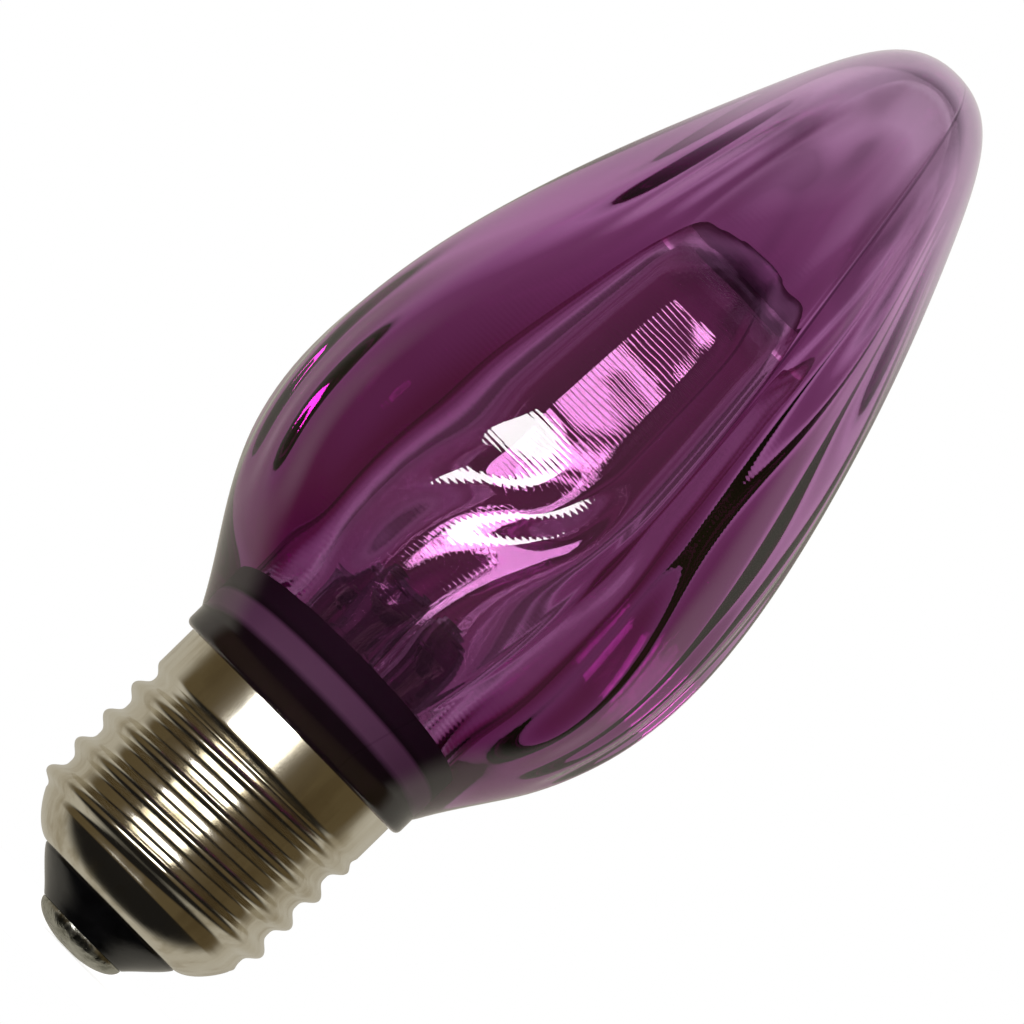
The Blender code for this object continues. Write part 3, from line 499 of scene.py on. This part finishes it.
def make_lead_frames(material):
    """A reflector cup on its post, turned once and copied into each LED."""
    foot = board_high[2] + 0.5 * MM
    cup_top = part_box("led_1")[1][2] - CUP_BELOW_TOP
    cup_foot = cup_top - CUP_HEIGHT
    profile = start_profile("lead_frame_1")
    straight(profile, (0, foot), (POST_RADIUS, foot), (POST_RADIUS, cup_foot - 0.4 * MM),
             (0.62 * CUP_RADIUS, cup_foot), (CUP_RADIUS, cup_top), (CUP_RADIUS - CUP_WALL, cup_top),
             (0.35 * CUP_RADIUS, cup_foot + 0.25 * MM), (0, cup_foot + 0.25 * MM))
    pieces = [turn_profile(profile, 28)]
    for number in range(2, LED_COUNT + 1):
        piece = pieces[0].copy()
        piece.data = pieces[0].data.copy()
        piece.name = "lead_frame_%d" % number
        bpy.context.scene.collection.objects.link(piece)
        pieces.append(piece)
    for number, piece in enumerate(pieces, 1):
        low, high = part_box("led_%d" % number)
        middle = Vector(((low[0] + high[0]) / 2, (low[1] + high[1]) / 2, 0))
        piece.data.transform(Matrix.Translation(middle))
        wear(piece, material, slot="nickel")


# Nodes that several materials use

def new_material(name):
    material = bpy.data.materials.new(name)
    material.use_nodes = True
    shader = material.node_tree.nodes["Principled BSDF"]
    return material, material.node_tree, shader


def object_place(tree, stretch=1.0):
    """The piece's own coordinates. A stretch below 1 draws a pattern out along the axis."""
    place = tree.nodes.new("ShaderNodeTexCoord")
    if stretch == 1.0:
        return place.outputs["Object"]
    drawn = tree.nodes.new("ShaderNodeMapping")
    drawn.inputs["Scale"].default_value = (1, 1, stretch)
    tree.links.new(place.outputs["Object"], drawn.inputs["Vector"])
    return drawn.outputs["Vector"]


def split_place(tree):
    """X, Y and Z of the piece's own coordinates."""
    split = tree.nodes.new("ShaderNodeSeparateXYZ")
    tree.links.new(object_place(tree), split.inputs[0])
    return split.outputs["X"], split.outputs["Y"], split.outputs["Z"]


def noise(tree, scale, detail, stretch=1.0, distortion=0.0):
    made = tree.nodes.new("ShaderNodeTexNoise")
    made.inputs["Scale"].default_value = scale
    made.inputs["Detail"].default_value = detail
    made.inputs["Distortion"].default_value = distortion
    tree.links.new(object_place(tree, stretch), made.inputs["Vector"])
    return made.outputs["Fac"]


def math_node(tree, operation, first, second=None):
    made = tree.nodes.new("ShaderNodeMath")
    made.operation = operation
    for index, value in enumerate((first, second)):
        if value is None:
            continue
        if isinstance(value, (int, float)):
            made.inputs[index].default_value = value
        else:
            tree.links.new(value, made.inputs[index])
    return made.outputs[0]


def distance_out(tree, across, along):
    """How far a point with these two coordinates is from the middle."""
    flat = tree.nodes.new("ShaderNodeCombineXYZ")
    tree.links.new(across, flat.inputs["X"])
    tree.links.new(along, flat.inputs["Y"])
    reach = tree.nodes.new("ShaderNodeVectorMath")
    reach.operation = "LENGTH"
    tree.links.new(flat.outputs[0], reach.inputs[0])
    return reach.outputs["Value"]


def fade(tree, source, start, end, low, high):
    """A smooth step of the source from low, at the start, to high, at the end."""
    made = tree.nodes.new("ShaderNodeMapRange")
    made.interpolation_type = "SMOOTHSTEP"
    made.inputs["From Min"].default_value = start
    made.inputs["From Max"].default_value = end
    made.inputs["To Min"].default_value = low
    made.inputs["To Max"].default_value = high
    tree.links.new(source, made.inputs["Value"])
    return made.outputs[0]


def ramp(tree, source, *stops):
    """A colour ramp with (position, colour) stops."""
    made = tree.nodes.new("ShaderNodeValToRGB")
    elements = made.color_ramp.elements
    while len(elements) < len(stops):
        elements.new(0.5)
    for element, (position, colour) in zip(elements, stops):
        element.position = position
        element.color = (*colour, 1)
    tree.links.new(source, made.inputs["Fac"])
    return made.outputs["Color"]


def blend_colour(tree, share, first, second):
    """A colour that goes from the first to the second as the share goes from 0 to 1."""
    made = tree.nodes.new("ShaderNodeMix")
    made.data_type = "RGBA"
    tree.links.new(share, made.inputs["Factor"])
    for name, colour in (("A", first), ("B", second)):
        socket = next(item for item in made.inputs if item.name == name and item.type == "RGBA")
        if isinstance(colour, tuple):
            socket.default_value = (*colour, 1)
        else:
            tree.links.new(colour, socket)
    return next(item for item in made.outputs if item.type == "RGBA")


def raise_surface(tree, shader, height, distance=1.0):
    bump = tree.nodes.new("ShaderNodeBump")
    bump.inputs["Strength"].default_value = 1.0
    bump.inputs["Distance"].default_value = distance
    tree.links.new(height, bump.inputs["Height"])
    tree.links.new(bump.outputs["Normal"], shader.inputs["Normal"])
    return bump.outputs["Normal"]


def ring_lines(tree, rings, pitch, waver):
    lines = tree.nodes.new("ShaderNodeGroup")
    lines.node_tree = rings
    lines.inputs["Pitch"].default_value = pitch
    lines.inputs["Waver"].default_value = waver
    return lines.outputs["Height"]


def ring_bump_group():
    """Fine lines round the axis, as a turned or rolled surface has them."""
    group = bpy.data.node_groups.new("Turned rings", "ShaderNodeTree")
    face = group.interface
    face.new_socket("Pitch", in_out="INPUT", socket_type="NodeSocketFloat").default_value = 0.4 * MM
    face.new_socket("Waver", in_out="INPUT", socket_type="NodeSocketFloat").default_value = 0.3
    face.new_socket("Height", in_out="OUTPUT", socket_type="NodeSocketFloat")
    start = group.nodes.new("NodeGroupInput")
    end = group.nodes.new("NodeGroupOutput")
    rise = split_place(group)[2]
    turns = math_node(group, "DIVIDE", rise, start.outputs["Pitch"])
    stray = math_node(group, "MULTIPLY", noise(group, 180, 2), start.outputs["Waver"])
    phase = math_node(group, "MULTIPLY", math_node(group, "ADD", turns, stray), 2 * math.pi)
    group.links.new(math_node(group, "SINE", phase), end.inputs["Height"])
    return group


def cavity_wall(tree, across, along, rise):
    """1 on the wall and the end of the cavity, and 0 on the outside."""
    within = fade(tree, distance_out(tree, across, along), WALL_RADIUS, WALL_RADIUS + 0.2 * MM, 1, 0)
    below = fade(tree, rise, CROWN + 0.4 * MM, CROWN + 0.8 * MM, 1, 0)
    return math_node(tree, "MULTIPLY", within, below)


def marks_and_shade_group():
    """Dark streaks towards the tip, the mould's seam, and painted shade on the wall near the cavity's end,
    which is rough there.
    """
    group = bpy.data.node_groups.new("Moulding marks and painted shade", "ShaderNodeTree")
    face = group.interface
    face.new_socket("Colour", in_out="OUTPUT", socket_type="NodeSocketColor")
    face.new_socket("Roughness", in_out="OUTPUT", socket_type="NodeSocketFloat")
    end = group.nodes.new("NodeGroupOutput")
    across, along, rise = split_place(group)
    streak_noise = noise(group, STREAK_SCALE, 0.5, stretch=STREAK_STRETCH, distortion=0.3)
    streak = ramp(group, streak_noise, (0.38, STREAK), (0.50, STREAK_EDGE), (0.57, CLEAR))
    high = fade(group, rise, *STREAK_RISE, 0, 1)
    colour = blend_colour(group, high, CLEAR, streak)
    off_seam = math_node(group, "SUBTRACT",
                         math_node(group, "MULTIPLY", across, math.sin(SEAM_ANGLE)),
                         math_node(group, "MULTIPLY", along, math.cos(SEAM_ANGLE)))
    ahead = math_node(group, "ADD",
                      math_node(group, "MULTIPLY", across, math.cos(SEAM_ANGLE)),
                      math_node(group, "MULTIPLY", along, math.sin(SEAM_ANGLE)))
    line = fade(group, math_node(group, "ABSOLUTE", off_seam), SEAM_WIDTH / 3, SEAM_WIDTH, 1, 0)
    line = math_node(group, "MULTIPLY", line, fade(group, ahead, 0, 3.0 * MM, 0, 1))
    line = math_node(group, "MULTIPLY", line, fade(group, rise, BELLY[1], CROWN, 0.35, 1))
    colour = blend_colour(group, line, colour, SEAM_TINT)
    # painted shade: the wall near the cavity's end is darkened, and made rough
    rough_and_shade = math_node(group, "MULTIPLY", fade(group, rise, *ROUGH_AND_SHADE_RISE, 0, 1),
                     cavity_wall(group, across, along, rise))
    colour = blend_colour(group, rough_and_shade, colour, PAINTED_CROWN_SHADE)
    group.links.new(colour, end.inputs["Colour"])
    group.links.new(math_node(group, "MULTIPLY", rough_and_shade, DULL_ROUGHNESS), end.inputs["Roughness"])
    return group


# Materials

def make_purple(rings):
    """Clear tinted acrylic, with fine turning lines and a hard bright skin."""
    material, tree, shader = new_material("clear_purple_acrylic")
    shader.inputs["IOR"].default_value = ACRYLIC_IOR
    shader.inputs["Transmission Weight"].default_value = 1
    shader.inputs["Coat Roughness"].default_value = 0.0
    shader.inputs["Coat IOR"].default_value = SKIN_IOR
    across, along, rise = split_place(tree)
    wall = cavity_wall(tree, across, along, rise)
    grooves = math_node(tree, "MULTIPLY", wall, fade(tree, rise, *GROOVE_RISE, GROOVE_HEIGHT, 0))
    belly = fade(tree, along, *RING_PLACE, RING_HEIGHT, 0)
    lines = ring_lines(tree, rings, RING_PITCH, 1.4)
    height = math_node(tree, "MULTIPLY", lines, math_node(tree, "ADD", grooves, belly))
    tree.links.new(raise_surface(tree, shader, height), shader.inputs["Coat Normal"])
    side = tree.nodes.new("ShaderNodeNewGeometry")
    outward = math_node(tree, "SUBTRACT", 1.0, side.outputs["Backfacing"])
    turned = tree.nodes.new("ShaderNodeLayerWeight")
    turned.inputs["Blend"].default_value = 0.5
    skin = math_node(tree, "MULTIPLY", outward,
                     fade(tree, turned.outputs["Facing"], 0.0, 0.8, OUTER_SKIN, 0))
    tree.links.new(math_node(tree, "MAXIMUM", skin, wall), shader.inputs["Coat Weight"])
    # the seam, the tip's streaks and the painted shade near the cavity's end
    marks_and_shade = tree.nodes.new("ShaderNodeGroup")
    marks_and_shade.node_tree = marks_and_shade_group()
    tree.links.new(marks_and_shade.outputs["Colour"], shader.inputs["Base Color"])
    tree.links.new(marks_and_shade.outputs["Roughness"], shader.inputs["Roughness"])
    # painted light: the rim near the tip lets the white background through, which makes it lighter
    painted_tip_light = math_node(tree, "MULTIPLY", fade(tree, rise, *TIP_LIGHT_RISE, 0, 1),
                        fade(tree, turned.outputs["Facing"], 0.10, 0.45, 0, TIP_LIGHT_SHARE))
    tree.links.new(math_node(tree, "SUBTRACT", 1.0, painted_tip_light), shader.inputs["Alpha"])
    tint_inside(tree)
    return material


def tint_inside(tree):
    """The purple dye, which darkens with the thickness that light passes."""
    tint = tree.nodes.new("ShaderNodeVolumeAbsorption")
    tint.inputs["Color"].default_value = (*DYE, 1)
    tint.inputs["Density"].default_value = DYE_DENSITY
    tree.links.new(tint.outputs[0], tree.nodes["Material Output"].inputs["Volume"])


def make_crown():
    """Rough end of the cavity, where the mould's core ended, darkened as painted shade."""
    material, tree, shader = new_material("rough_crown_painted_shade")
    tone = ramp(tree, noise(tree, 700, 3), (0.35, (0.02, 0.012, 0.016)), (0.70, (0.10, 0.06, 0.08)))
    tree.links.new(tone, shader.inputs["Base Color"])
    shader.inputs["Roughness"].default_value = 0.35
    shader.inputs["IOR"].default_value = ACRYLIC_IOR
    shader.inputs["Transmission Weight"].default_value = 0.45
    tint_inside(tree)
    return material


def make_shade_lining():
    """Dark lining of the neck, painted shade, with a paler band."""
    material, tree, shader = new_material("neck_lining_painted_shade")
    shader.inputs["Roughness"].default_value = 0.6
    shader.inputs["Specular IOR Level"].default_value = 0.0
    span = SHADE_LINING_TOP - SPIGOT_FOOT
    rise = tree.nodes.new("ShaderNodeMapRange")
    rise.inputs["From Min"].default_value = SPIGOT_FOOT
    rise.inputs["From Max"].default_value = SHADE_LINING_TOP
    tree.links.new(split_place(tree)[2], rise.inputs["Value"])
    bands = [(0.0, NECK_PAINTED_DARK)]
    for height, colour in NECK_BANDS:
        bands.append(((RIM + height - SPIGOT_FOOT) / span, colour))
    tree.links.new(ramp(tree, rise.outputs[0], *bands), shader.inputs["Base Color"])
    return material


def make_epoxy():
    """Clear resin of the LEDs, darkened as painted shade."""
    material, tree, shader = new_material("clear_resin_painted_shade")
    tone = ramp(tree, noise(tree, 450, 3), (0.35, (0.34, 0.29, 0.32)), (0.65, (0.50, 0.43, 0.48)))
    tree.links.new(tone, shader.inputs["Base Color"])
    shader.inputs["Roughness"].default_value = 0.0
    shader.inputs["IOR"].default_value = 1.52
    shader.inputs["Transmission Weight"].default_value = 1
    return material


def make_nickel(rings):
    """Bright nickel plate with rolling lines, dull clouds, stains and shallow dents."""
    material, tree, shader = new_material("nickel_plate")
    shader.inputs["Metallic"].default_value = 1
    cloud = noise(tree, 160, 6)
    dirt = math_node(tree, "MULTIPLY", noise(tree, 520, 4, stretch=0.12), cloud)
    tone = ramp(tree, dirt, (0.12, (0.50, 0.44, 0.32)), (0.26, (0.72, 0.68, 0.58)),
                (0.45, (0.80, 0.77, 0.69)))
    tree.links.new(tone, shader.inputs["Base Color"])
    sheen = ramp(tree, dirt, (0.14, (0.24, 0.24, 0.24)), (0.40, (0.09, 0.09, 0.09)))
    tree.links.new(sheen, shader.inputs["Roughness"])
    lines = math_node(tree, "MULTIPLY", ring_lines(tree, rings, ROLLING_PITCH, 0.8), ROLLING_HEIGHT)
    dents = math_node(tree, "MULTIPLY", cloud, DENT_HEIGHT)
    raise_surface(tree, shader, math_node(tree, "ADD", lines, dents))
    return material


def make_plain(name, dark, light, smooth, rough, scale, grain, metallic=0.0):
    """A moulded, coated or soldered finish: two tones, two roughness values and a fine grain."""
    material, tree, shader = new_material(name)
    shader.inputs["Metallic"].default_value = metallic
    cloud = noise(tree, scale, 5)
    tree.links.new(ramp(tree, cloud, (0.3, dark), (0.7, light)), shader.inputs["Base Color"])
    sheen = ramp(tree, cloud, (0.3, (smooth,) * 3), (0.7, (rough,) * 3))
    tree.links.new(sheen, shader.inputs["Roughness"])
    raise_surface(tree, shader, cloud, grain)
    return material


def dress(material, *names):
    """Gives CAD nodes that stay a better material."""
    for name in names:
        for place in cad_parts[name].material_slots:
            place.material = material


def dress_driver():
    """Finishes of what the cap hides: the driver board, its components and the leads."""
    finishes = (
        ("green_laminate", (0.01, 0.06, 0.03), (0.02, 0.10, 0.05), 0.30, 0.45, 600, ("driver_board",)),
        ("yellow_case", (0.42, 0.30, 0.08), (0.52, 0.38, 0.12), 0.35, 0.50, 500, ("dropper_capacitor",)),
        ("black_case", (0.010, 0.010, 0.012), (0.022, 0.022, 0.026), 0.30, 0.45, 500,
         ("smoothing_capacitor", "bridge_rectifier")),
        ("grey_enamel", (0.20, 0.21, 0.20), (0.30, 0.31, 0.30), 0.40, 0.55, 700, ("fuse_resistor",)),
        ("tan_enamel", (0.42, 0.28, 0.15), (0.52, 0.36, 0.20), 0.35, 0.50, 700, ("bleed_resistor",)),
        ("red_sheath", (0.30, 0.015, 0.012), (0.40, 0.025, 0.020), 0.40, 0.55, 800,
         ("led_lead_positive", "live_lead")),
        ("black_sheath", (0.010, 0.010, 0.010), (0.020, 0.020, 0.020), 0.40, 0.55, 800,
         ("led_lead_negative",)),
        ("white_sheath", (0.60, 0.60, 0.58), (0.72, 0.72, 0.70), 0.40, 0.55, 800, ("neutral_lead",)),
    )
    for name, dark, light, smooth, rough, scale, nodes in finishes:
        dress(make_plain(name, dark, light, smooth, rough, scale, FINE_GRAIN), *nodes)


# Light, floor and camera

def make_world():
    """Studio that is pure white for the camera alone.

    Metal and outer faces mirror a plain room: pale paper behind, brown beside the softbox and
    dark above and below. Looking through the plastic shows the paper under the lamp, which the
    lamp shades and tints. Towards the cap the paper is lit again.
    """
    world = bpy.data.worlds.new("Studio")
    bpy.context.scene.world = world
    world.use_nodes = True
    tree = world.node_tree
    tree.nodes.clear()
    out = tree.nodes.new("ShaderNodeOutputWorld")
    place = tree.nodes.new("ShaderNodeTexCoord")
    split = tree.nodes.new("ShaderNodeSeparateXYZ")
    tree.links.new(place.outputs["Generated"], split.inputs[0])
    path = tree.nodes.new("ShaderNodeLightPath")
    mirrored = mirrored_room(tree, split)
    through = paper_through_plastic(tree, split)
    whole = blend_colour(tree, path.outputs["Is Transmission Ray"], mirrored, through)
    whole = blend_colour(tree, path.outputs["Is Diffuse Ray"], whole, PLAIN_LEVEL)
    shade = tree.nodes.new("ShaderNodeBackground")
    tree.links.new(whole, shade.inputs["Color"])
    white = tree.nodes.new("ShaderNodeBackground")
    white.inputs["Color"].default_value = (1, 1, 1, 1)
    mix = tree.nodes.new("ShaderNodeMixShader")
    tree.links.new(path.outputs["Is Camera Ray"], mix.inputs[0])
    tree.links.new(shade.outputs[0], mix.inputs[1])
    tree.links.new(white.outputs[0], mix.inputs[2])
    tree.links.new(mix.outputs[0], out.inputs["Surface"])


def mirrored_room(tree, split):
    """What metal and outer faces mirror."""
    upright = math_node(tree, "ABSOLUTE", split.outputs["Z"])
    level = fade(tree, upright, *BROWN_LEVEL, 1, 0)
    front = blend_colour(tree, level, DARK_ROOM, BROWN_ROOM)
    behind = fade(tree, split.outputs["Y"], *PALE_BEHIND, 0, 1)
    return blend_colour(tree, behind, front, PALE_PAPER)


def paper_through_plastic(tree, split):
    """What light that leaves the plastic shows."""
    across = math_node(tree, "ABSOLUTE", split.outputs["X"])
    wide = math_node(tree, "DIVIDE", across, SHADOW_ACROSS)
    down = math_node(tree, "MINIMUM", split.outputs["Z"], 0)
    long = math_node(tree, "DIVIDE", down, SHADOW_ALONG)
    paper = ramp(tree, distance_out(tree, wide, long), (0.0, SHADOW_CORE), (0.38, SHADOW_INNER),
                 (0.52, SHADOW_EDGE), (0.80, DIM_PAPER), (1.0, LIT_PAPER))
    behind = fade(tree, split.outputs["Y"], *PAPER_BEHIND, 0, 1)
    beside = fade(tree, across, *PAPER_BESIDE, 1, 0)
    seen = math_node(tree, "MULTIPLY", behind, beside)
    room = blend_colour(tree, seen, SOFT_ROOM, paper)
    above = fade(tree, split.outputs["Z"], *LIT_ABOVE, 0, 1)
    beyond = fade(tree, split.outputs["Y"], *LIT_BEYOND, 0, 1)
    top = math_node(tree, "MULTIPLY", above, beyond)
    foot = fade(tree, split.outputs["Z"], *LIT_BELOW, 1, 0)
    ends = math_node(tree, "MAXIMUM", top, foot)
    return blend_colour(tree, ends, room, LIT_PAPER)


def make_floor():
    """Pale disc under the cap. The camera sees it white, darker where the lamp shades it."""
    bpy.ops.object.select_all(action="DESELECT")
    bpy.ops.mesh.primitive_circle_add(vertices=96, radius=FLOOR_RADIUS, fill_type="NGON",
                                      location=(0, 0, 0))
    floor = bpy.context.object
    floor.name = "floor"
    floor.data.transform(Matrix.Translation((0, 0, -FLOOR_DROP)))
    material, tree, shader = new_material("pale_floor")
    tone = ramp(tree, noise(tree, 60, 2), (0.3, (0.88, 0.88, 0.88)), (0.7, (0.92, 0.92, 0.92)))
    tree.links.new(tone, shader.inputs["Base Color"])
    shader.inputs["Roughness"].default_value = 0.8
    shader.inputs["Emission Color"].default_value = (1, 1, 1, 1)
    path = tree.nodes.new("ShaderNodeLightPath")
    glow = math_node(tree, "MULTIPLY", path.outputs["Is Camera Ray"], FLOOR_GLOW)
    tree.links.new(glow, shader.inputs["Emission Strength"])
    floor.data.materials.append(material)
    floor.visible_transmission = False
    floor.visible_glossy = False


def make_softbox():
    """Rectangular softbox round the camera's line of sight."""
    data = bpy.data.lights.new("Softbox", "AREA")
    data.shape = "RECTANGLE"
    data.size = 2 * SOFTBOX_DISTANCE * math.tan(SOFTBOX_ACROSS)
    data.size_y = 2 * SOFTBOX_DISTANCE * math.tan(SOFTBOX_ALONG)
    data.energy = SOFTBOX_POWER
    lamp = bpy.data.objects.new("Softbox", data)
    bpy.context.scene.collection.objects.link(lamp)
    turn = Matrix.Rotation(SOFTBOX_ASIDE, 3, "Z") @ Matrix.Rotation(-SOFTBOX_RAISED, 3, "X")
    lamp.location = AIM + turn @ Vector((0, -SOFTBOX_DISTANCE, 0))
    lamp.rotation_euler = (turn @ Matrix.Rotation(math.radians(90), 3, "X")).to_euler()


def make_camera():
    data = bpy.data.cameras.new("Camera")
    data.lens = LENS
    data.sensor_width = SENSOR
    camera = bpy.data.objects.new("Camera", data)
    bpy.context.scene.collection.objects.link(camera)
    distance = FRAME_WIDTH * LENS / SENSOR
    data.clip_start = 0.01
    data.clip_end = distance * 20
    back = Vector((0, -math.cos(CAMERA_BELOW), -math.sin(CAMERA_BELOW)))
    rise = Vector((0, -math.sin(CAMERA_BELOW), math.cos(CAMERA_BELOW)))
    side = Vector((1, 0, 0))
    turn = math.pi / 2 - AXIS_IN_PICTURE
    right = side * math.cos(turn) + rise * math.sin(turn)
    up = rise * math.cos(turn) - side * math.sin(turn)
    rotation = Matrix((right, up, back)).transposed().to_4x4()
    camera.matrix_world = Matrix.Translation(AIM + back * distance) @ rotation
    bpy.context.scene.camera = camera


def main():
    bpy.context.scene.view_settings.view_transform = "Standard"
    rings = ring_bump_group()
    nickel = make_nickel(rings)
    black = make_plain("black_phenolic", (0.0008, 0.0008, 0.001), (0.003, 0.003, 0.0035), 0.10, 0.2, 500,
                       COARSE_GRAIN)
    solder = make_plain("solder", (0.20, 0.20, 0.16), (0.62, 0.62, 0.56), 0.2, 0.4, 900, SOLDER_GRAIN,
                        metallic=1.0)
    laminate = make_plain("dark_laminate", (0.006, 0.016, 0.008), (0.012, 0.028, 0.014), 0.25, 0.4, 900,
                          FINE_GRAIN)
    carrier = make_plain("black_carrier", (0.012, 0.012, 0.012), (0.022, 0.021, 0.02), 0.35, 0.5, 700,
                         FINE_GRAIN)
    make_flame_body(make_purple(rings), make_shade_lining(), make_crown())
    make_screw_shell(nickel)
    make_insulator(black)
    make_contact(solder)
    make_lead_frames(nickel)
    dress(laminate, "led_board")
    dress(carrier, "board_carrier")
    dress(make_epoxy(), *("led_%d" % number for number in range(1, LED_COUNT + 1)))
    dress_driver()
    make_world()
    make_floor()
    make_softbox()
    make_camera()


main()
